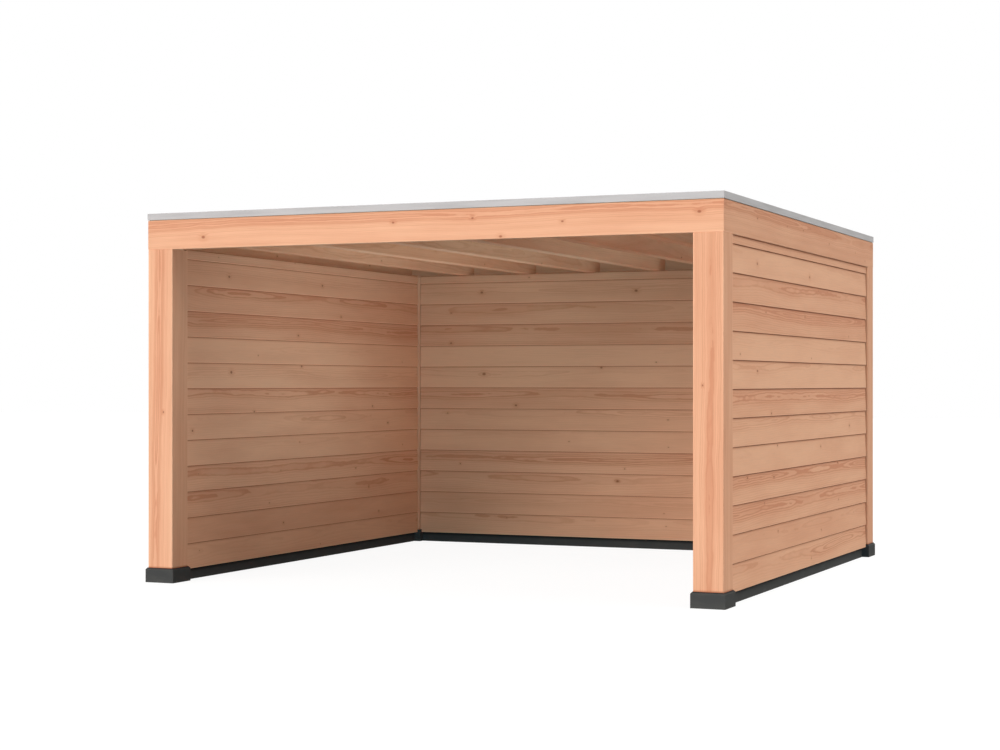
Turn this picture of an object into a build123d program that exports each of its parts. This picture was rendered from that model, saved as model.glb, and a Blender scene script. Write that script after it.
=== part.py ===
"""Open-fronted garden canopy: four posts in shoes, three double-boarded walls and a flat roof.

Millimetres. The origin is on the ground at the middle of the plan, +Z is up and the open
front faces -Y. Left and right are as seen by someone standing in front of the canopy.
"""

import os

from build123d import *

# Plan, over the outer faces of the corner posts
width = 4000.0
depth = 4000.0

# Corner posts and the shoes that they stand in
post_size = 190.0
post_arris = 5.0
shoe_overhang = 13.0
shoe_height = 98.0
shoe_slope_height = 12.0
rim_width = 2.0
socket_depth = 30.0
socket_clearance = 1.0

# Foundation beams between the shoes, one under each wall, set back from the wall frame's faces
foundation_setback = 3.0
foundation_height = 77.0
foundation_chamfer = 4.0

# Ring beam that lies on the posts, mitred at its corners
beam_underside = 2226.0
beam_height = 195.0
beam_thickness = 56.0
beam_arris = 4.0

# Roof joists, from the front beam to the back beam
joist_count = 6
joist_width = 90.0
joist_height = 183.0
joist_arris = 4.0

# Tapered boards that lap downwards on both faces of each wall
board_pitch = 175.0
lowest_board_height = 171.0
board_recess = 10.0
board_lower_thickness = 27.0
board_upper_thickness = 19.0

# Stud frame inside each wall
stud_bays = 9
stud_width = 45.0
plate_height = 45.0

# Flat roof: deck, edge battens, rubber sheet and folded metal edge trim, with a shadow gap
# between the trim and the beam in front of the deck's edge
deck_thickness = 18.0
deck_setback = 6.0
batten_width = 45.0
batten_height = 23.0
sheet_thickness = 3.0
trim_metal = 3.0
trim_lip_height = 12.0
trim_gap = 4.0

# Heights and lengths that follow from the sizes above
half_width = width / 2
half_depth = depth / 2
shoe_size = post_size + 2 * shoe_overhang
socket_size = post_size + 2 * socket_clearance
post_bottom = shoe_height - socket_depth
beam_top = beam_underside + beam_height
deck_top = beam_top + deck_thickness
roof_top = deck_top + batten_height + sheet_thickness + trim_metal
trim_bottom = beam_top + trim_gap
joist_underside = beam_top - joist_height
wall_thickness = post_size - 2 * board_recess
frame_depth = wall_thickness - 2 * board_lower_thickness
foundation_width = frame_depth - 2 * foundation_setback
first_lap = foundation_height + lowest_board_height

# Each side of the plan: the middle of its outer face, the turn that points local +X outwards
# and local Y along the side, and its length over the post faces
sides = {
    "front": ((0, -half_depth, 0), -90, width),
    "back": ((0, half_depth, 0), 90, width),
    "left": ((-half_width, 0, 0), 180, depth),
    "right": ((half_width, 0, 0), 0, depth),
}
walled_sides = ("left", "back", "right")

pieces = {}


def on_side(name):
    """Place whose +X points out of the named side, with Y along the side."""
    middle, turn, _ = sides[name]
    return Location(middle, (0, 0, turn))


def box_from(x_size, y_size, bottom, top):
    """Box centred on Z, from one height to another."""
    return Pos(0, 0, (bottom + top) / 2) * Box(x_size, y_size, top - bottom)


def mitred_plan(length, inward, outward=0):
    """Strip along a side whose ends are cut to meet the neighbouring sides at the corners."""
    inner_half = length / 2 - inward
    outer_half = length / 2 + outward
    return Polygon(
        (-inward, -inner_half),
        (outward, -outer_half),
        (outward, outer_half),
        (-inward, inner_half),
        align=None,
    )


def mitred_bar(length, thickness, bottom, top):
    """Straight bar with mitred ends, its outer face on the side's outer face."""
    return Pos(0, 0, bottom) * extrude(mitred_plan(length, thickness), amount=top - bottom)


def lapped_section(top):
    """Section through one boarded face: the back is straight, each board tapers upwards."""
    lap_count = int((top - first_lap) // board_pitch) + 1
    laps = [first_lap + board_pitch * index for index in range(lap_count)]
    heights = [foundation_height] + laps + [top]
    taper = (board_lower_thickness - board_upper_thickness) / board_pitch
    points = [(0, foundation_height)]
    for lower, upper in zip(heights, heights[1:]):
        points.append((board_lower_thickness, lower))
        points.append((board_lower_thickness - taper * (upper - lower), upper))
    points.append((0, top))
    return Polygon(*points, align=None)


def boarded_face(length, top):
    """All the boards on one face of a wall, backed on X = 0 and facing +X."""
    return extrude(Plane.XZ * lapped_section(top), amount=length / 2, both=True)


def post_shoe():
    """Block with a sloped shoulder and a socket for the foot of a post."""
    shoulder = shoe_height - shoe_slope_height
    rim_size = socket_size + 2 * rim_width
    block = box_from(shoe_size, shoe_size, 0, shoulder)
    base = Plane.XY.offset(shoulder) * Rectangle(shoe_size, shoe_size)
    rim = Plane.XY.offset(shoe_height) * Rectangle(rim_size, rim_size)
    socket = box_from(socket_size, socket_size, post_bottom, shoe_height)
    return block + loft([base.face(), rim.face()]) - socket


def post():
    """Square post with rounded long edges."""
    body = box_from(post_size, post_size, post_bottom, beam_underside)
    return fillet(body.edges().filter_by(Axis.Z), post_arris)


def ring_beam(length):
    """Beam along one side, flush with the posts, with rounded lower edges."""
    bar = mitred_bar(length, beam_thickness, beam_underside, beam_top)
    return fillet(bar.edges().filter_by(Axis.Y).group_by(Axis.Z)[0], beam_arris)


def joist():
    """Joist on the plan's centre line, with rounded lower edges."""
    body = box_from(joist_width, depth - 2 * beam_thickness, joist_underside, beam_top)
    return fillet(body.edges().filter_by(Axis.Y).group_by(Axis.Z)[0], joist_arris)


def foundation_beam(length):
    """Bar between two shoes, with chamfered long edges."""
    body = box_from(foundation_width, length, 0, foundation_height)
    return chamfer(body.edges().filter_by(Axis.Y).group_by(Axis.Z)[-1], foundation_chamfer)


def stud_frame(length):
    """Sole plate, top plate and evenly spaced studs of one wall."""
    plate_top = foundation_height + plate_height
    head_bottom = beam_underside - plate_height
    frame = box_from(frame_depth, length, foundation_height, plate_top)
    frame += box_from(frame_depth, length, head_bottom, beam_underside)
    stud_spacing = (length - stud_width) / stud_bays
    for index in range(stud_bays + 1):
        along = stud_spacing * index - (length - stud_width) / 2
        frame += Pos(0, along, 0) * box_from(frame_depth, stud_width, plate_top, head_bottom)
    return frame


def shoe_notches(length):
    """Space that the shoes take from both lower ends of a wall."""
    reach = (length - shoe_overhang) / 2
    notch = box_from(wall_thickness, shoe_overhang, foundation_height, shoe_height)
    return Pos(0, -reach, 0) * notch + Pos(0, reach, 0) * notch


def roof_sheet():
    """Rubber sheet on the deck, turned up inside the edge battens and over their tops."""
    tray_width = width - 2 * batten_width
    tray_depth = depth - 2 * batten_width
    batten_top = deck_top + batten_height
    sheet_top = batten_top + sheet_thickness
    hollow_width = tray_width - 2 * sheet_thickness
    hollow_depth = tray_depth - 2 * sheet_thickness
    sheet = box_from(width, depth, batten_top, sheet_top)
    sheet += box_from(tray_width, tray_depth, deck_top, sheet_top)
    return sheet - box_from(hollow_width, hollow_depth, deck_top + sheet_thickness, sheet_top)


def roof_trim(length):
    """Folded edge trim: outer face, top flange over the batten and a lip turned down inside."""
    flange_reach = batten_width + sheet_thickness + trim_metal
    flange_bottom = roof_top - trim_metal
    lip_bottom = flange_bottom - trim_lip_height
    lip_outer = trim_metal - flange_reach
    section = Polygon(
        (0, trim_bottom),
        (trim_metal, trim_bottom),
        (trim_metal, roof_top),
        (-flange_reach, roof_top),
        (-flange_reach, lip_bottom),
        (lip_outer, lip_bottom),
        (lip_outer, flange_bottom),
        (0, flange_bottom),
        align=None,
    )
    run = extrude(Plane.XZ * section, amount=length / 2 + trim_metal, both=True)
    plan = mitred_plan(length, flange_reach, trim_metal)
    ends = Pos(0, 0, trim_bottom) * extrude(plan, amount=roof_top - trim_bottom)
    return run & ends


def add_corners():
    """Shoe and post at each corner of the plan."""
    corner_x = half_width - post_size / 2
    corner_y = half_depth - post_size / 2
    for row, y in (("front", -corner_y), ("rear", corner_y)):
        for column, x in (("left", -corner_x), ("right", corner_x)):
            pieces[f"{row}_{column}_shoe"] = Pos(x, y, 0) * post_shoe()
            pieces[f"{row}_{column}_post"] = Pos(x, y, 0) * post()


def add_walls():
    """Foundation beam, stud frame and two boarded faces on each walled side."""
    for name in walled_sides:
        length = sides[name][2] - 2 * post_size
        wall_line = on_side(name) * Pos(-post_size / 2, 0, 0)
        notches = shoe_notches(length)
        outer_boards = Pos(frame_depth / 2, 0, 0) * boarded_face(length, beam_underside) - notches
        inner_boards = Pos(frame_depth / 2, 0, 0) * boarded_face(length, joist_underside) - notches
        pieces[f"{name}_foundation_beam"] = wall_line * foundation_beam(length - 2 * shoe_overhang)
        pieces[f"{name}_wall_frame"] = wall_line * (stud_frame(length) - notches)
        pieces[f"{name}_wall_outer_boards"] = wall_line * outer_boards
        pieces[f"{name}_wall_inner_boards"] = wall_line * Rot(0, 0, 180) * inner_boards


def add_roof():
    """Ring beam, joists, deck, battens, sheet and trim."""
    for name, (_, _, length) in sides.items():
        pieces[f"{name}_beam"] = on_side(name) * ring_beam(length)
        batten = mitred_bar(length, batten_width, deck_top, deck_top + batten_height)
        pieces[f"{name}_roof_batten"] = on_side(name) * batten
        pieces[f"{name}_roof_trim"] = on_side(name) * roof_trim(length)
    joist_spacing = (width - beam_thickness) / (joist_count + 1)
    for index in range(1, joist_count + 1):
        across = joist_spacing * index - (width - beam_thickness) / 2
        pieces[f"roof_joist_{index}"] = Pos(across, 0, 0) * joist()
    deck_width = width - 2 * deck_setback
    deck_depth = depth - 2 * deck_setback
    pieces["roof_deck"] = box_from(deck_width, deck_depth, beam_top, deck_top)
    pieces["roof_sheet"] = roof_sheet()


add_corners()
add_walls()
add_roof()

os.makedirs("parts", exist_ok=True)
for node, piece in pieces.items():
    export_step(piece, f"parts/{node}.step")
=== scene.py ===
"""Looks of the garden canopy: sawn timber, plastic footing, metal trim, light and camera.

Metres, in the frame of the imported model: the origin is on the ground at the middle of the
plan, +Z is up and the open front faces -Y. Left and right are as seen from the front.
"""

import math
import random

import bpy
from mathutils import Matrix, Vector


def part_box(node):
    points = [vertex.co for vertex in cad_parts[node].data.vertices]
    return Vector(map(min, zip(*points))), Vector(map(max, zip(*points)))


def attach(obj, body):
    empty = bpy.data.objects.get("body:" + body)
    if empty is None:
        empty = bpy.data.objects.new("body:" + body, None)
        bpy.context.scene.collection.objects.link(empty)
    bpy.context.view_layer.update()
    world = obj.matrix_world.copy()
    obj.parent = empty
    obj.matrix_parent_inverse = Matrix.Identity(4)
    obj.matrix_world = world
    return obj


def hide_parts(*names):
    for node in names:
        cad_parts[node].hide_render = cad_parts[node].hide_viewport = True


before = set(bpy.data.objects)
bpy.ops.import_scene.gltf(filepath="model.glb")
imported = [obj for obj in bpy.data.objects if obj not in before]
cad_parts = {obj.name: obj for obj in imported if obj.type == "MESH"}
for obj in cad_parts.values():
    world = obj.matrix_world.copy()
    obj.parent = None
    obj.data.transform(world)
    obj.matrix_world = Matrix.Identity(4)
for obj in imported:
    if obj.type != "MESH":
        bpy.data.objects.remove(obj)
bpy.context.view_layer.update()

UP = Vector((0, 0, 1))
OUTWARDS = {
    "front": Vector((0, -1, 0)),
    "back": Vector((0, 1, 0)),
    "left": Vector((-1, 0, 0)),
    "right": Vector((1, 0, 0)),
}
WALLED_SIDES = ("left", "back", "right")

# Lapped boards: height that each covers, thickness at its lower and upper edge, gap at its ends,
# the groove along the top of each under the lip of the next, the height of the painted shade below
# it, and how dark that painted shade is where the groove starts
board_pitch = 0.175
lowest_board_height = 0.171
board_lower_thickness = 0.027
board_upper_thickness = 0.019
board_lip_arris = 0.0025
board_end_gap = 0.004
groove_height = 0.004
groove_depth = 0.003
groove_shade_height = 0.014
shoulder_shade = 0.35
shoe_overhang = 0.013
shoe_height = 0.098

# Other sawn timber: rounding of its edges, the width of the painted highlight along them, the
# height of the painted shade on the posts above their shoes, and the sharpest bend in degrees that
# looks round
post_arris = 0.005
beam_arris = 0.004
joist_arris = 0.004
arris_steps = 4
edge_light_width = 0.005
foot_shade_height = 0.012
round_angle = 35

# Roof boards over the joists: number of boards, and the joint planed into their lower edges
deck_board_count = 32
deck_joint = 0.004

# Where timber is sawn from its log: range of the pith's distance behind the timber's place, and
# of its place across the face, from a board's lower edge or from the middle of other timber
board_pith = ((-0.02, 0.03), (0.1, 0.145))
post_pith = ((-0.075, -0.055), (-0.025, 0.025))
beam_pith = ((0.0, 0.02), (0.06, 0.085))
joist_pith = ((0.0, 0.09), (-0.06, 0.06))
deck_pith = ((-0.01, 0.09), (-0.05, 0.05))

# How logs differ: spread of their redness, range of their seeds and of the place along them
redness_spread = 0.04
log_seeds = (0, 90)
log_starts = (0, 60)

# Knots that chance places: least distance from a board's ends and its edges, spacing along a
# board and the shares of it that a step takes, spacing along a beam, reach to either side of the
# middle of a post or beam and of a roof board, and radius
knot_end_distance = 0.12
knot_edge_distance = 0.02
knot_spacing = 1.7
knot_step_shares = (0.5, 1.5)
beam_knot_spacing = 0.6
heavy_knot_reach = 0.07
deck_knot_reach = 0.05
knot_radius = (0.003, 0.006)

# Figure at a knot: how a length along the grain counts against one across it, the reach of its
# core and of its halo from nothing to full, and how far rings bend round it, all in its radii
knot_grain_share = 0.7
core_reach = (1.2, 0.4)
halo_reach = (4.0, 0.9)
knot_bulge = 0.9

# Growth rings: how often the pith wanders along the log, and how far across and in depth, the
# waves in the rings (along, across and in depth) and their height, the shares of a ring where its
# dark wood rises and falls, how fast rings and bands of rings change, the radius of the heart's
# core, and how clear the rings are outside the heart
wander_rate = 0.55
wander_across = 0.11
wander_depth = 0.13
ring_waves = (5.0, 18.0, 18.0)
ring_wave_height = 0.02
ring_rise_shares = (0.4, 0.85)
ring_fall_shares = (1.0, 0.92)
ring_change = 0.83
band_change = 0.45
heart_core = 0.02
outer_clarity = 0.3

# Redness that patches (with their scale), the heart, a knot's halo and the painted highlight on edges
# add
patch_scale = (1.3, 9.0, 9.0)
patch_redness = 0.8
heart_redness = 0.2
halo_redness = 0.25
edge_redness = -0.3

# How far knots and the painted shade in the joints cover the wood, the fibres' scale and contrast,
# the lightness of the painted highlight on edges, the height of rings against that of fibres, and
# the strength of all relief
knot_cover = 0.85
joint_shade_cover = 0.9
fibre_scale = (7.0, 330.0, 330.0)
fibre_contrast = 0.16
edge_lightness = 0.05
ring_relief = 0.5
relief_strength = 0.6

# Depth of the relief of timber, footing, trim and roof sheet
timber_relief = 0.0006
footing_relief = 0.0004
trim_relief = 0.0001
sheet_relief = 0.0006

# Scale of the texture of the footing, the trim, the roof sheet and the hidden timber
footing_speckle = (420.0, 420.0, 420.0)
footing_smears = (9.0, 9.0, 26.0)
trim_grit = (900.0, 900.0, 900.0)
trim_streaks = (2.4, 2.4, 30.0)
sheet_grit = (260.0, 260.0, 260.0)
sheet_pools = (1.3, 1.3, 1.3)
hidden_fibres = (160.0, 160.0, 9.0)
hidden_blotches = (3.0, 3.0, 1.2)

# Footing: height of the dust above the ground, height of the painted shade at a shoe's top, and
# heights from which and to which the painted shade grows on a foundation beam
dust_height = 0.06
shoe_shade_height = 0.012
foundation_shade_heights = (0.045, 0.07)

# Colours, linear: pale and red wood of the walls and beams and of the roof boards, their knots and
# the painted shade in their joints, and the other materials
pale_wood = (0.985, 0.543, 0.340, 1)
red_wood = (0.745, 0.315, 0.178, 1)
pale_spruce = (0.80, 0.64, 0.44, 1)
red_spruce = (0.66, 0.44, 0.26, 1)
knot_wood = (0.42, 0.13, 0.062, 1)
# colour of the painted shade in the lap joints
joint_shade = (0.50, 0.13, 0.055, 1)
frame_wood = (0.72, 0.50, 0.30, 1)
footing_grey = (0.069, 0.069, 0.069, 1)
footing_dust = (0.092, 0.090, 0.086, 1)
# colour of the painted shade on the tops of the shoes and the foundation beams
footing_shade = (0.020, 0.018, 0.016, 1)
trim_grey = (0.485, 0.460, 0.465, 1)
trim_stain = (0.440, 0.415, 0.415, 1)
sheet_black = (0.030, 0.031, 0.033, 1)
sheet_dust = (0.115, 0.110, 0.100, 1)

# Boards of a wall from the ground up: how much redder each is, and how strong its figure is
board_tones = (
    (-0.05, 0.6),
    (0.08, 0.2),
    (-0.03, 0.9),
    (-0.05, 1.0),
    (-0.13, 0.15),
    (-0.13, 0.4),
    (0.05, 0.7),
    (-0.16, 0.3),
    (-0.19, 0.15),
    (0.10, 1.0),
    (0.04, 0.7),
    (-0.13, 0.3),
    (0.00, 0.9),
)

# Knots that stand out from in front: place along the face (x or y), height and radius of each
seen_knots = {
    "front_left_post": ((-1.88, 1.14, 0.006),),
    "front_right_post": ((1.87, 1.32, 0.005),),
    "front_beam": (
        (-1.57, 2.30, 0.011),
        (-0.17, 2.35, 0.007),
        (0.38, 2.36, 0.007),
        (0.57, 2.24, 0.009),
        (0.98, 2.32, 0.007),
        (1.85, 2.35, 0.010),
    ),
    "right_wall_outer_boards": (
        (-1.22, 1.41, 0.009),
        (-0.91, 1.14, 0.008),
        (1.26, 1.02, 0.009),
        (0.40, 0.89, 0.007),
        (-0.74, 0.93, 0.007),
        (0.91, 0.76, 0.008),
        (-1.44, 0.75, 0.009),
        (-0.83, 0.73, 0.009),
        (-1.23, 2.08, 0.011),
        (0.08, 2.06, 0.010),
    ),
    "left_wall_inner_boards": (
        (-1.25, 2.08, 0.010),
        (0.12, 2.08, 0.009),
        (1.24, 1.01, 0.008),
        (-1.73, 1.01, 0.008),
        (-1.22, 1.41, 0.012),
        (-0.20, 1.46, 0.009),
        (0.42, 1.85, 0.007),
        (-0.26, 1.69, 0.008),
        (0.96, 1.15, 0.007),
        (-0.91, 1.13, 0.007),
    ),
    "back_wall_inner_boards": (
        (-1.24, 2.09, 0.010),
        (0.12, 2.08, 0.011),
        (-1.52, 1.67, 0.008),
        (-0.18, 1.46, 0.009),
        (-1.22, 1.41, 0.013),
        (-0.93, 1.15, 0.009),
        (-0.04, 0.54, 0.010),
    ),
}

# The photo's camera: place, turn about Z in degrees, lens and sensor in millimetres, and shift
camera_place = (5.335, -13.111, 1.3316)
camera_turn = 23.579
camera_lens = 70.43
camera_sensor = 36.0
camera_shift = (0.012, 0.00845)

# Far soft lamps: turn from the front towards the right, height above the horizon and softness in
# degrees, light on a face turned to the lamp, colour, and whether it casts shadows
lamps = {
    "front_left": (-30, 20, 50, 0.87, (1, 0.93, 0.88), True),
    "right_side": (105, 45, 60, 0.48, (1, 0.975, 0.90), True),
    "rear_left": (-165, 35, 60, 0.40, (1, 1, 1), True),
    "fill_right": (90, 0, 10, 0.04, (0.34, 0.84, 1), False),
    "fill_front": (0, 0, 10, 0.12, (0.28, 0.80, 1), False),
    "fill_below": (0, -90, 10, 0.12, (0.60, 0.96, 1), False),
}

# Soft boxes under the roof: place, turns about X and Z in degrees, width and height, spread in
# degrees, watts, colour, and whether it casts shadows
soft_boxes = {
    "towards_corner": ((0.6, -0.2, 1.3), (110, 75), (2.0, 0.6), 180, 5.8, (0.38, 0.82, 1), True),
    "towards_left_joists": ((-0.5, -0.4, 1.2), (135, 90), (2.6, 0.4), 180, 8.0, (0.72, 0.93, 1), True),
    "along_joists": ((1.9, 0.0, 2.33), (90, 90), (3.6, 0.18), 10, 0.37, (0.37, 0.84, 1), False),
}

# Light of the sky, and the white ground: half its width, its own light, the share of the lamps'
# light that it shows, which keeps the shadow, and the share that it throws back
sky_light = 0.42
floor_reach = 60.0
floor_white = 0.92
floor_shade = 0.12
floor_bounce = 0.05


class Shader:
    """Short way to write the nodes of one material."""

    def __init__(self, name, specular):
        self.material = bpy.data.materials.new(name)
        self.material.use_nodes = True
        self.tree = self.material.node_tree
        self.surface = self.tree.nodes["Principled BSDF"]
        self.surface.inputs["Specular IOR Level"].default_value = specular

    def feed(self, socket, value):
        """Link an output to a socket, or set the socket to a constant."""
        if isinstance(value, bpy.types.NodeSocket):
            self.tree.links.new(value, socket)
        else:
            socket.default_value = value

    def node(self, kind, inputs=None, **settings):
        """New node with its settings made and its inputs fed."""
        node = self.tree.nodes.new("ShaderNode" + kind)
        for name, value in settings.items():
            setattr(node, name, value)
        for name, value in (inputs or {}).items():
            self.feed(node.inputs[name], value)
        return node

    def attribute(self, name):
        """Vector that the mesh carries under a name."""
        return self.node("Attribute", attribute_name=name).outputs["Vector"]

    def split(self, vector):
        return self.node("SeparateXYZ", {"Vector": vector}).outputs

    def join(self, x, y, z):
        return self.node("CombineXYZ", {"X": x, "Y": y, "Z": z}).outputs["Vector"]

    def math(self, operation, *values):
        return self.node("Math", dict(enumerate(values)), operation=operation).outputs["Value"]

    def stretched(self, vector, scale):
        """Vector scaled by a factor for each axis."""
        node = self.node("VectorMath", {0: vector, 1: scale}, operation="MULTIPLY")
        return node.outputs["Vector"]

    def noise(self, vector, detail, output="Fac"):
        """Noise in space, about one wave to a unit of the vector."""
        node = self.node("TexNoise", {"Vector": vector, "Scale": 1.0, "Detail": detail})
        return node.outputs[output]

    def noise_of_one(self, value, scale, detail):
        """Noise along a single value."""
        inputs = {"W": value, "Scale": scale, "Detail": detail}
        return self.node("TexNoise", inputs, noise_dimensions="1D").outputs["Fac"]

    def ease(self, value, low, high, low_result=0.0, high_result=1.0):
        """Smooth step from one result to the other while the value goes from low to high."""
        inputs = {
            "Value": value,
            "From Min": low,
            "From Max": high,
            "To Min": low_result,
            "To Max": high_result,
        }
        return self.node("MapRange", inputs, interpolation_type="SMOOTHSTEP").outputs["Result"]

    def blend(self, share, first, second):
        """Colour between two colours. The sockets of a colour mix are known by number."""
        node = self.node("Mix", data_type="RGBA")
        self.feed(node.inputs[0], share)
        self.feed(node.inputs[6], first)
        self.feed(node.inputs[7], second)
        return node.outputs[2]

    def finish(self, colour, roughness, height, depth):
        """Material with its colour, roughness and relief."""
        bump = self.node("Bump", {"Height": height, "Distance": depth, "Strength": relief_strength})
        self.feed(self.surface.inputs["Base Color"], colour)
        self.feed(self.surface.inputs["Roughness"], roughness)
        self.feed(self.surface.inputs["Normal"], bump.outputs["Normal"])
        return self.material


def timber_material(name, pale, dark, ring_width, heart_radius, redness, figure, banding):
    """Sawn softwood: growth rings round a wandering pith, knots, fibres and patches.

    The mesh gives the place in the log (grain: along it, then across it from the pith), the
    board's tone (redness, strength of its figure, seed), the knot nearest to each face (place
    along and across the log, radius) and its edges (1 on an arris with a painted highlight, -1
    in a joint with painted shade).
    """
    shader = Shader(name, specular=0.18)
    grain = shader.attribute("grain")
    along, across, depth = shader.split(grain)
    board_redness, board_figure, seed = shader.split(shader.attribute("tone"))
    knot_along, knot_across, knot_size = shader.split(shader.attribute("knot"))
    edge = shader.node("Attribute", attribute_name="edge").outputs["Fac"]
    edge_light = shader.math("MAXIMUM", edge, 0.0)
    edge_shade = shader.math("MAXIMUM", shader.math("MULTIPLY", edge, -1.0), 0.0)

    # Distance from the knot, which is longer along the grain than across it, in radii
    ahead = shader.math("MULTIPLY", shader.math("SUBTRACT", along, knot_along), knot_grain_share)
    aside = shader.math("SUBTRACT", across, knot_across)
    offset = shader.join(ahead, aside, 0.0)
    reach = shader.node("VectorMath", {0: offset}, operation="LENGTH").outputs["Value"]
    knot_distance = shader.math("DIVIDE", reach, shader.math("MAXIMUM", knot_size, 0.0001))
    knot_core = shader.ease(knot_distance, *core_reach)
    knot_halo = shader.ease(knot_distance, *halo_reach)

    # Growth rings: distance from the pith, which wanders along the log
    slow = shader.join(shader.math("MULTIPLY", along, wander_rate), seed, 0.0)
    wander = shader.split(shader.noise(slow, 1.0, "Color"))
    waves = shader.noise(shader.stretched(grain, ring_waves), 4.0)
    least_across = shader.math("ADD", across, -wander_across / 2)
    least_depth = shader.math("ADD", depth, -wander_depth / 2)
    across_pith = shader.math("MULTIPLY_ADD", wander[0], wander_across, least_across)
    depth_pith = shader.math("MULTIPLY_ADD", wander[1], wander_depth, least_depth)
    radius = shader.math(
        "SQRT",
        shader.math(
            "ADD",
            shader.math("POWER", across_pith, 2.0),
            shader.math("POWER", depth_pith, 2.0),
        ),
    )
    bulge = shader.math("MULTIPLY", knot_halo, shader.math("MULTIPLY", knot_size, knot_bulge))
    round_knot = shader.math("SUBTRACT", radius, bulge)
    bent = shader.math("MULTIPLY_ADD", waves, ring_wave_height, round_knot)
    phase = shader.math("DIVIDE", bent, ring_width)
    saw = shader.math("FRACT", phase)
    rise = shader.ease(saw, *ring_rise_shares)
    fall = shader.ease(saw, *ring_fall_shares)
    ring_tone = shader.noise_of_one(shader.math("FLOOR", phase), ring_change, 2.0)
    strength = shader.ease(ring_tone, 0.25, 0.75, 0.2, 1.0)
    heart = shader.ease(radius, heart_radius, heart_core)
    clarity = shader.ease(heart, 0.0, 1.0, outer_clarity, 1.0)
    contrast = shader.math("MULTIPLY", clarity, board_figure)
    ring = shader.math("MULTIPLY", shader.math("MULTIPLY", rise, fall), strength)
    clear_ring = shader.math("MULTIPLY", ring, contrast)
    band_tone = shader.noise_of_one(phase, band_change, 1.0)
    band = shader.math("MULTIPLY", shader.ease(band_tone, 0.36, 0.64, -0.5, 0.5), contrast)

    # Redness: of the board, its patches, bands of rings, its heart, each ring, knots and the painted
    # highlight on edges
    patches = shader.noise(shader.stretched(grain, patch_scale), 3.0)
    clear_heart = shader.math("MULTIPLY", heart, board_figure)
    red = shader.math("ADD", board_redness, redness)
    red = shader.math("MULTIPLY_ADD", shader.math("ADD", patches, -0.5), patch_redness, red)
    red = shader.math("MULTIPLY_ADD", band, banding, red)
    red = shader.math("MULTIPLY_ADD", clear_heart, heart_redness, red)
    red = shader.math("MULTIPLY_ADD", clear_ring, figure, red)
    red = shader.math("MULTIPLY_ADD", knot_halo, halo_redness, red)
    red = shader.math("MULTIPLY_ADD", edge_light, edge_redness, red)
    wood = shader.blend(shader.math("MAXIMUM", red, 0.0), pale, dark)

    # Knots, painted shade in the joints and under the lips, and fibres
    fibres = shader.noise(shader.stretched(grain, fibre_scale), 3.0)
    knotted = shader.blend(shader.math("MULTIPLY", knot_core, knot_cover), wood, knot_wood)
    # painted shade: joints and lip undersides darkened towards the joint colour
    shaded_colour = shader.blend(shader.math("MULTIPLY", edge_shade, joint_shade_cover), knotted, joint_shade)
    value = shader.math("MULTIPLY_ADD", shader.math("ADD", fibres, -0.5), fibre_contrast, 1.0)
    # painted highlight: arrises lighter than the face
    lit_value = shader.math("MULTIPLY_ADD", edge_light, edge_lightness, value)
    toned = shader.node("HueSaturation", {"Value": lit_value, "Color": shaded_colour})

    roughness = shader.ease(fibres, 0.2, 0.8, 0.58, 0.78)
    height = shader.math("MULTIPLY_ADD", ring, ring_relief, shader.math("ADD", fibres, knot_core))
    return shader.finish(toned.outputs["Color"], roughness, height, timber_relief)


def footing_material(name, shade_from, shade_to):
    """Dark grey recycled plastic with a fine moulded texture, pale dust and a painted shade on its
    top.
    """
    shader = Shader(name, specular=0.01)
    place = shader.node("TexCoord").outputs["Object"]
    speckle = shader.noise(shader.stretched(place, footing_speckle), 2.0)
    smears = shader.noise(shader.stretched(place, footing_smears), 4.0)
    height = shader.split(place)[2]
    low = shader.ease(height, dust_height, 0.0, 0.0, 0.5)
    dust = shader.math("MULTIPLY_ADD", shader.ease(smears, 0.42, 0.75), 0.55, low)
    colour = shader.blend(dust, footing_grey, footing_dust)
    grained = shader.blend(shader.ease(speckle, 0.45, 0.75, 0.0, 0.35), colour, footing_dust)
    # painted shade, darker towards the top of a shoe and of a foundation beam
    top_shade = shader.ease(height, shade_from, shade_to, 0.0, 0.8)
    shaded_colour = shader.blend(top_shade, grained, footing_shade)
    roughness = shader.ease(smears, 0.3, 0.7, 0.5, 0.68)
    return shader.finish(shaded_colour, roughness, speckle, footing_relief)


def trim_material(name):
    """Light grey coated metal with faint streaks and stains."""
    shader = Shader(name, specular=0.5)
    place = shader.node("TexCoord").outputs["Object"]
    grit = shader.noise(shader.stretched(place, trim_grit), 1.0)
    stains = shader.noise(shader.stretched(place, trim_streaks), 4.0)
    colour = shader.blend(shader.ease(stains, 0.45, 0.8), trim_grey, trim_stain)
    roughness = shader.ease(stains, 0.3, 0.7, 0.34, 0.48)
    return shader.finish(colour, roughness, grit, trim_relief)


def sheet_material(name):
    """Black rubber roof sheet with dust where water dries."""
    shader = Shader(name, specular=0.3)
    place = shader.node("TexCoord").outputs["Object"]
    grit = shader.noise(shader.stretched(place, sheet_grit), 3.0)
    pools = shader.noise(shader.stretched(place, sheet_pools), 6.0)
    grains = shader.ease(grit, 0.2, 0.8, 0.5, 1.0)
    dust = shader.math("MULTIPLY", shader.ease(pools, 0.38, 0.72), grains)
    colour = shader.blend(dust, sheet_black, sheet_dust)
    roughness = shader.ease(pools, 0.3, 0.7, 0.55, 0.82)
    return shader.finish(colour, roughness, grit, sheet_relief)


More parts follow.
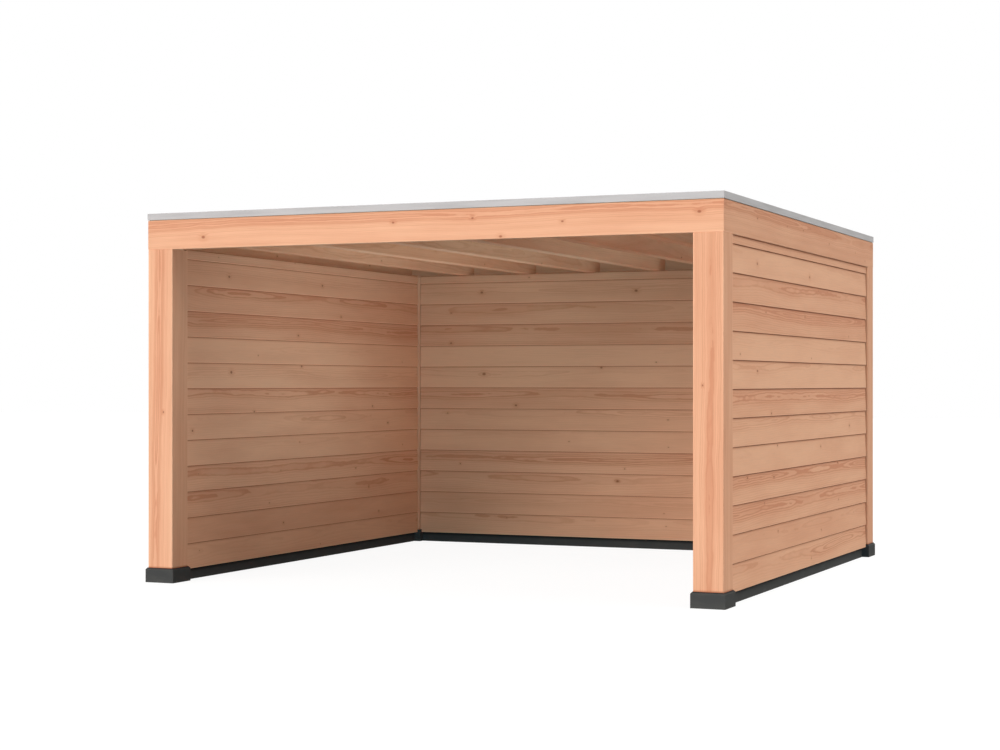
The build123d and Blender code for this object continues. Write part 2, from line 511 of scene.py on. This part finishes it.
def hidden_timber_material(name):
    """Plain sawn softwood for the frames inside the walls and the battens on the roof."""
    shader = Shader(name, specular=0.15)
    place = shader.node("TexCoord").outputs["Object"]
    fibres = shader.noise(shader.stretched(place, hidden_fibres), 3.0)
    blotches = shader.noise(shader.stretched(place, hidden_blotches), 2.0)
    warm = shader.blend(shader.ease(blotches, 0.3, 0.7), frame_wood, red_wood)
    colour = shader.blend(shader.ease(fibres, 0.35, 0.75, 0.0, 0.4), warm, red_wood)
    roughness = shader.ease(fibres, 0.3, 0.7, 0.6, 0.8)
    return shader.finish(colour, roughness, fibres, timber_relief)


def rounded_section(corners, edge_light=1.0):
    """Outline of a section from its corners (y, z, radius), as points (y, z, edge light)."""
    outline = []
    for index, (y, z, radius) in enumerate(corners):
        corner = Vector((y, z))
        if radius == 0:
            outline.append((y, z, 0.0))
            continue
        before = (Vector(corners[index - 1][:2]) - corner).normalized()
        after = (Vector(corners[(index + 1) % len(corners)][:2]) - corner).normalized()
        half_angle = before.angle(after) / 2
        reach = radius / math.tan(half_angle)
        middle = corner + (before + after).normalized() * (radius / math.sin(half_angle))
        first = corner + before * reach - middle
        last = corner + after * reach - middle
        # the painted highlight covers the arris and a band beside it
        inset = corner + before * (reach + edge_light_width)
        outline.append((inset.x, inset.y, 0.0))
        for step in range(arris_steps + 1):
            share = step / arris_steps
            point = middle + (first * (1 - share) + last * share).normalized() * radius
            outline.append((point.x, point.y, edge_light))
        inset = corner + after * (reach + edge_light_width)
        outline.append((inset.x, inset.y, 0.0))
    return outline


def placed(origin, along, out):
    """Place of a timber: X along it, Y out of its face and Z across its face."""
    across = along.cross(out)
    return Matrix.Translation(origin) @ Matrix((along, out, across)).transposed().to_4x4()


class Timber:
    """Joined mesh of sawn timber, with the place in the log that each point comes from."""

    def __init__(self, name):
        self.name = name
        self.chance = random.Random(name)
        self.points = []
        self.faces = []
        self.grain = []
        self.tones = []
        self.edges = []
        self.knots = []

    def log(self, depth, aside, redness=0.0, figure=1.0):
        """How one piece is sawn: the pith's place in the section, tone and start in the log."""
        chance = self.chance
        return {
            "pith": (-chance.uniform(*depth), chance.uniform(*aside)),
            "tone": (redness + chance.gauss(0, redness_spread), figure, chance.uniform(*log_seeds)),
            "start": chance.uniform(*log_starts),
        }

    def chance_knots(self, length, across, spacing=knot_spacing):
        """Knots along a face that nobody placed: (along, across, radius)."""
        found = []
        spot = -length / 2 + knot_end_distance + self.chance.uniform(0, spacing)
        while spot < length / 2 - knot_end_distance:
            found.append((spot, self.chance.uniform(*across), self.chance.uniform(*knot_radius)))
            spot += self.chance.uniform(*knot_step_shares) * spacing
        return found

    def add(self, section, place, length, log, knots=(), painted_shade=(), mitred=False):
        """One straight piece, centred on its place, cut along its length between its knots.

        Painted shade is a list of places along the piece and how dark the painted shade is at each.
        """
        knots = sorted(knots)
        cuts = [(first[0] + second[0]) / 2 for first, second in zip(knots, knots[1:])]
        shade_at = dict(painted_shade)
        stations = sorted([-length / 2, length / 2] + cuts + list(shade_at))
        pith_y, pith_z = log["pith"]
        base = len(self.points)
        count = len(section)
        for station in stations:
            for y, z, edge in section:
                x = station
                if mitred and abs(station) == length / 2:
                    x = math.copysign(length / 2 + y, station)
                self.points.append(place @ Vector((x, y, z)))
                self.grain.append((x + log["start"], z - pith_z, y - pith_y))
                self.tones.append(log["tone"])
                self.edges.append(min(edge, -shade_at.get(station, -edge)))
        for span, (first, second) in enumerate(zip(stations, stations[1:])):
            marker = (0.0, 0.0, 0.0)
            if knots:
                middle = (first + second) / 2
                spot, height, radius = min(knots, key=lambda knot: abs(knot[0] - middle))
                marker = (spot + log["start"], height - pith_z, radius)
            ring = base + span * count
            for index in range(count):
                following = (index + 1) % count
                near = (ring + index, ring + following)
                far = (ring + count + following, ring + count + index)
                self.faces.append(near + far)
                self.knots.append(marker)
        last = base + (len(stations) - 1) * count
        self.faces.append(tuple(range(last, last + count)))
        self.faces.append(tuple(range(base + count - 1, base - 1, -1)))
        self.knots.extend([(0.0, 0.0, 0.0)] * 2)

    def build(self, material, slot, *nodes):
        """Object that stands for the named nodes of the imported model."""
        mesh = bpy.data.meshes.new(self.name)
        mesh.from_pydata(self.points, [], self.faces)
        for name, domain, values in (
            ("grain", "POINT", self.grain),
            ("tone", "POINT", self.tones),
            ("knot", "FACE", self.knots),
        ):
            layer = mesh.attributes.new(name, "FLOAT_VECTOR", domain)
            layer.data.foreach_set("vector", [number for value in values for number in value])
        layer = mesh.attributes.new("edge", "FLOAT", "POINT")
        layer.data.foreach_set("value", self.edges)
        mesh.materials.append(material)
        mesh.shade_smooth()
        mesh.set_sharp_from_angle(angle=math.radians(round_angle))
        piece = bpy.data.objects.new(self.name, mesh)
        bpy.context.scene.collection.objects.link(piece)
        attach(piece, "root")
        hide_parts(*nodes)
        return piece


def local_knots(name, place):
    """The knots of a face that stand out from in front, in the place's own along and height."""
    back = place.inverted()
    found = []
    for spot, height, radius in seen_knots.get(name, ()):
        flat = Vector((spot, 0, height))
        if abs(place.col[0].y) > abs(place.col[0].x):
            flat = Vector((0, spot, height))
        local = back @ flat
        found.append((local.x, local.z, radius))
    return found


def board_section(bottom, top):
    """Tapered board, thickest at the lip along its lower edge, with a groove along its top.

    Painted shade darkens the underside of the lip, the groove and the face just below it.
    """
    taper = (board_lower_thickness - board_upper_thickness) / board_pitch
    shoulder = top - groove_height
    face = board_lower_thickness - taper * (shoulder - bottom)
    outline = rounded_section(
        (
            (0, bottom, 0),
            (board_lower_thickness, bottom, board_lip_arris),
            (face, shoulder, 0),
        )
    )
    # painted shade under the lip, in the groove and on the face just below the groove
    under_lip = [(y, z, -1.0) for y, z, _ in outline[:2]]
    face_shade = [(face + taper * groove_shade_height, shoulder - groove_shade_height, 0.0)]
    face_shade.append((face, shoulder, -shoulder_shade))
    groove = [(face - groove_depth, shoulder, -1.0), (face - groove_depth, top, -1.0)]
    return under_lip + outline[2:-1] + face_shade + groove + [(0, top, 0.0)]


def clipped(section, bottom, top):
    """The part of a board's section between two heights."""
    kept = []
    for (y, z, edge), (next_y, next_z, _) in zip(section, section[1:] + section[:1]):
        if bottom <= z <= top:
            kept.append((y, z, edge))
        for height in sorted((bottom, top), reverse=next_z < z):
            if min(z, next_z) < height < max(z, next_z):
                share = (height - z) / (next_z - z)
                kept.append((y + share * (next_y - y), height, 0.0))
    return kept


def boarded_face(node, out, material):
    """All the boards on one face of a wall."""
    low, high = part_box(node)
    along = out.cross(UP)
    length = abs((high - low).dot(along))
    thickness = abs((high - low).dot(out))
    middle = (low + high) / 2
    place = placed(Vector((middle.x, middle.y, 0)) - out * (thickness / 2), along, out)
    timber = Timber(f"{node}_timber")
    knots = local_knots(node, place)
    reach = length - 2 * board_end_gap
    pith_depth, pith_height = board_pith
    bottom = low.z
    top = bottom + lowest_board_height
    for redness, figure in board_tones:
        pith_aside = [bottom + height for height in pith_height]
        log = timber.log(pith_depth, pith_aside, redness, figure)
        held = [knot for knot in knots if bottom < knot[1] < top]
        if not held:
            knot_heights = (bottom + knot_edge_distance, top - knot_edge_distance)
            held = timber.chance_knots(length, knot_heights)
        section = board_section(bottom, min(top, high.z))
        if bottom == low.z:
            foot = clipped(section, bottom, shoe_height)
            timber.add(foot, place, reach - 2 * shoe_overhang, log, held)
            section = clipped(section, shoe_height, top)
        timber.add(section, place, reach, log, held)
        bottom = top
        top = bottom + board_pitch
    return timber.build(material, "board_timber", node)


def square_section(half_y, half_z, radius):
    """Rectangular section about the middle, with all four edges rounded."""
    return rounded_section(
        (
            (-half_y, -half_z, radius),
            (half_y, -half_z, radius),
            (half_y, half_z, radius),
            (-half_y, half_z, radius),
        )
    )


def corner_post(node, material):
    """Square post sawn round the heart of the log."""
    low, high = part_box(node)
    size = high - low
    timber = Timber(f"{node}_timber")
    log = timber.log(*post_pith)
    middle = (low + high) / 2
    place = placed(middle, UP, OUTWARDS["front"])
    across = (-heavy_knot_reach, heavy_knot_reach)
    knots = local_knots(node, place) or timber.chance_knots(size.z, across)
    # painted shade at the foot of the post, just above its shoe
    painted_shade = ((shoe_height - middle.z, 1.0), (shoe_height + foot_shade_height - middle.z, 0.0))
    section = square_section(size.y / 2, size.x / 2, post_arris)
    timber.add(section, place, size.z, log, knots, painted_shade)
    return timber.build(material, "post_timber", node)


def ring_beam(side, material):
    """Beam along one side on top of the posts, mitred at its ends."""
    node = f"{side}_beam"
    low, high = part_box(node)
    out = OUTWARDS[side]
    along = out.cross(UP)
    length = abs((high - low).dot(along))
    thickness = abs((high - low).dot(out))
    middle = (low + high) / 2
    timber = Timber(f"{node}_timber")
    place = placed(middle + out * (thickness / 2), along, out)
    half_height = (high.z - low.z) / 2
    log = timber.log(*beam_pith)
    across = (-heavy_knot_reach, heavy_knot_reach)
    knots = local_knots(node, place) or timber.chance_knots(length, across, beam_knot_spacing)
    section = rounded_section(
        (
            (-thickness, -half_height, beam_arris),
            (0, -half_height, beam_arris),
            (0, half_height, 0),
            (-thickness, half_height, 0),
        )
    )
    timber.add(section, place, length, log, knots, mitred=True)
    return timber.build(material, "beam_timber", node)


def roof_joist(node, material):
    """Joist from the front beam to the back beam."""
    low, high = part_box(node)
    size = high - low
    timber = Timber(f"{node}_timber")
    out = OUTWARDS["right"]
    place = placed((low + high) / 2, out.cross(UP), out)
    log = timber.log(*joist_pith)
    knots = timber.chance_knots(size.y, (-size.z / 2, size.z / 2))
    section = rounded_section(
        (
            (-size.x / 2, -size.z / 2, joist_arris),
            (size.x / 2, -size.z / 2, joist_arris),
            (size.x / 2, size.z / 2, 0),
            (-size.x / 2, size.z / 2, 0),
        ),
        edge_light=0.0,
    )
    timber.add(section, place, size.y, log, knots)
    return timber.build(material, "beam_timber", node)


def roof_deck(node, material):
    """Roof boards across the joists, with planed joints in their lower face."""
    low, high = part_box(node)
    size = high - low
    timber = Timber(f"{node}_timber")
    width = size.y / deck_board_count
    section = [
        (0, -width / 2, 0.0),
        (size.z - deck_joint, -width / 2, 0.0),
        (size.z, deck_joint - width / 2, 0.0),
        (size.z, width / 2 - deck_joint, 0.0),
        (size.z - deck_joint, width / 2, 0.0),
        (0, width / 2, 0.0),
    ]
    for index in range(deck_board_count):
        middle = Vector(((low.x + high.x) / 2, low.y + width * (index + 0.5), high.z))
        place = placed(middle, Vector((1, 0, 0)), -UP)
        log = timber.log(*deck_pith)
        knots = timber.chance_knots(size.x, (-deck_knot_reach, deck_knot_reach))
        timber.add(section, place, size.x, log, knots)
    return timber.build(material, "deck_timber", node)


def dress_node(node, material):
    """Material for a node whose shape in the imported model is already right."""
    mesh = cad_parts[node].data
    mesh.materials.clear()
    mesh.materials.append(material)


def build_timber():
    """Every piece of timber that shows."""
    board = timber_material(
        "sawn_boards",
        pale_wood,
        red_wood,
        ring_width=0.014,
        heart_radius=0.085,
        redness=0.24,
        figure=1.25,
        banding=0.3,
    )
    heavy = timber_material(
        "sawn_posts_and_beams",
        pale_wood,
        red_wood,
        ring_width=0.011,
        heart_radius=0.11,
        redness=0.32,
        figure=0.5,
        banding=0.5,
    )
    roof_board = timber_material(
        "sawn_roof_boards",
        pale_spruce,
        red_spruce,
        ring_width=0.010,
        heart_radius=0.085,
        redness=0.2,
        figure=0.8,
        banding=0.3,
    )
    for side in WALLED_SIDES:
        boarded_face(f"{side}_wall_outer_boards", OUTWARDS[side], board)
        boarded_face(f"{side}_wall_inner_boards", -OUTWARDS[side], board)
    for node in sorted(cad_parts):
        if node.endswith("_post"):
            corner_post(node, heavy)
        if node.startswith("roof_joist"):
            roof_joist(node, heavy)
    for side in OUTWARDS:
        ring_beam(side, heavy)
    roof_deck("roof_deck", roof_board)


def dress_nodes():
    """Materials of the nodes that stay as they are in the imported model."""
    shoe = footing_material("shoe_plastic", shoe_height - shoe_shade_height, shoe_height)
    footing = footing_material("footing_plastic", *foundation_shade_heights)
    trim = trim_material("trim_metal")
    sheet = sheet_material("roof_rubber")
    hidden = hidden_timber_material("hidden_timber")
    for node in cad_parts:
        if node.endswith("_shoe"):
            dress_node(node, shoe)
        elif node.endswith("_foundation_beam"):
            dress_node(node, footing)
        elif node.endswith("_roof_trim"):
            dress_node(node, trim)
        elif node == "roof_sheet":
            dress_node(node, sheet)
        elif node.endswith("_wall_frame") or node.endswith("_roof_batten"):
            dress_node(node, hidden)


def seen_directly(tree):
    """1 for a ray from the camera, a mirror or glass, and 0 for light that falls on things."""
    path = tree.nodes.new("ShaderNodeLightPath")
    total = None
    for name in ("Is Camera Ray", "Is Glossy Ray", "Is Transmission Ray"):
        if total is None:
            total = path.outputs[name]
            continue
        larger = tree.nodes.new("ShaderNodeMath")
        larger.operation = "MAXIMUM"
        tree.links.new(total, larger.inputs[0])
        tree.links.new(path.outputs[name], larger.inputs[1])
        total = larger.outputs["Value"]
    return total


def light_world():
    """Even sky light, with plain white behind the object."""
    world = bpy.data.worlds.new("studio")
    bpy.context.scene.world = world
    world.use_nodes = True
    tree = world.node_tree
    sky = tree.nodes["Background"]
    sky.inputs["Color"].default_value = (1, 1, 1, 1)
    sky.inputs["Strength"].default_value = sky_light
    white = tree.nodes.new("ShaderNodeBackground")
    white.inputs["Color"].default_value = (1, 1, 1, 1)
    white.inputs["Strength"].default_value = 1.0
    mix = tree.nodes.new("ShaderNodeMixShader")
    tree.links.new(seen_directly(tree), mix.inputs[0])
    tree.links.new(sky.outputs[0], mix.inputs[1])
    tree.links.new(white.outputs[0], mix.inputs[2])
    tree.links.new(mix.outputs[0], tree.nodes["World Output"].inputs["Surface"])


def place_light(light, place, turns):
    """Light in the scene that shines down before it is turned about X and then about Z."""
    about_x, about_z = turns
    holder = bpy.data.objects.new(light.name, light)
    holder.location = place
    holder.rotation_euler = (math.radians(about_x), 0, math.radians(about_z))
    holder.visible_camera = False
    bpy.context.scene.collection.objects.link(holder)


def light_lamps():
    """Large soft lamps round the canopy, and soft boxes that open up the shade under its roof."""
    for name, (turn, height, softness, strength, colour, shadows) in lamps.items():
        lamp = bpy.data.lights.new(name, "SUN")
        lamp.energy = strength * math.pi
        lamp.angle = math.radians(softness)
        lamp.color = colour
        lamp.use_shadow = shadows
        place_light(lamp, (0, 0, 0), (90 - height, turn))
    for name, (place, turns, (width, height), spread, watts, colour, shadows) in soft_boxes.items():
        lamp = bpy.data.lights.new(name, "AREA")
        lamp.shape = "RECTANGLE"
        lamp.size = width
        lamp.size_y = height
        lamp.spread = math.radians(spread)
        lamp.energy = watts
        lamp.color = colour
        lamp.use_shadow = shadows
        place_light(lamp, place, turns)


def lay_floor():
    """White ground that keeps a faint shadow and throws a little light back."""
    mesh = bpy.data.meshes.new("floor")
    corners = [(-floor_reach, -floor_reach), (floor_reach, -floor_reach)]
    corners += [(floor_reach, floor_reach), (-floor_reach, floor_reach)]
    mesh.from_pydata([(x, y, 0) for x, y in corners], [], [(0, 1, 2, 3)])
    floor = bpy.data.objects.new("floor", mesh)
    bpy.context.scene.collection.objects.link(floor)
    material = bpy.data.materials.new("white_ground")
    material.use_nodes = True
    tree = material.node_tree
    tree.nodes.remove(tree.nodes["Principled BSDF"])
    ground = tree.nodes.new("ShaderNodeBsdfDiffuse")
    ground.inputs["Color"].default_value = (floor_bounce, floor_bounce, floor_bounce, 1)
    shade = tree.nodes.new("ShaderNodeBsdfDiffuse")
    shade.inputs["Color"].default_value = (floor_shade, floor_shade, floor_shade, 1)
    glow = tree.nodes.new("ShaderNodeEmission")
    glow.inputs["Strength"].default_value = floor_white
    white = tree.nodes.new("ShaderNodeAddShader")
    tree.links.new(shade.outputs[0], white.inputs[0])
    tree.links.new(glow.outputs[0], white.inputs[1])
    mix = tree.nodes.new("ShaderNodeMixShader")
    tree.links.new(seen_directly(tree), mix.inputs[0])
    tree.links.new(ground.outputs[0], mix.inputs[1])
    tree.links.new(white.outputs[0], mix.inputs[2])
    tree.links.new(mix.outputs[0], tree.nodes["Material Output"].inputs["Surface"])
    mesh.materials.append(material)


def place_camera():
    """Camera where the photo was taken from."""
    lens = bpy.data.cameras.new("camera")
    lens.sensor_fit = "HORIZONTAL"
    lens.sensor_width = camera_sensor
    lens.lens = camera_lens
    lens.shift_x, lens.shift_y = camera_shift
    camera = bpy.data.objects.new("camera", lens)
    camera.location = camera_place
    camera.rotation_euler = (math.radians(90), 0, math.radians(camera_turn))
    bpy.context.scene.collection.objects.link(camera)
    bpy.context.scene.camera = camera


build_timber()
dress_nodes()
light_world()
light_lamps()
lay_floor()
place_camera()
bpy.context.scene.view_settings.view_transform = "Standard"
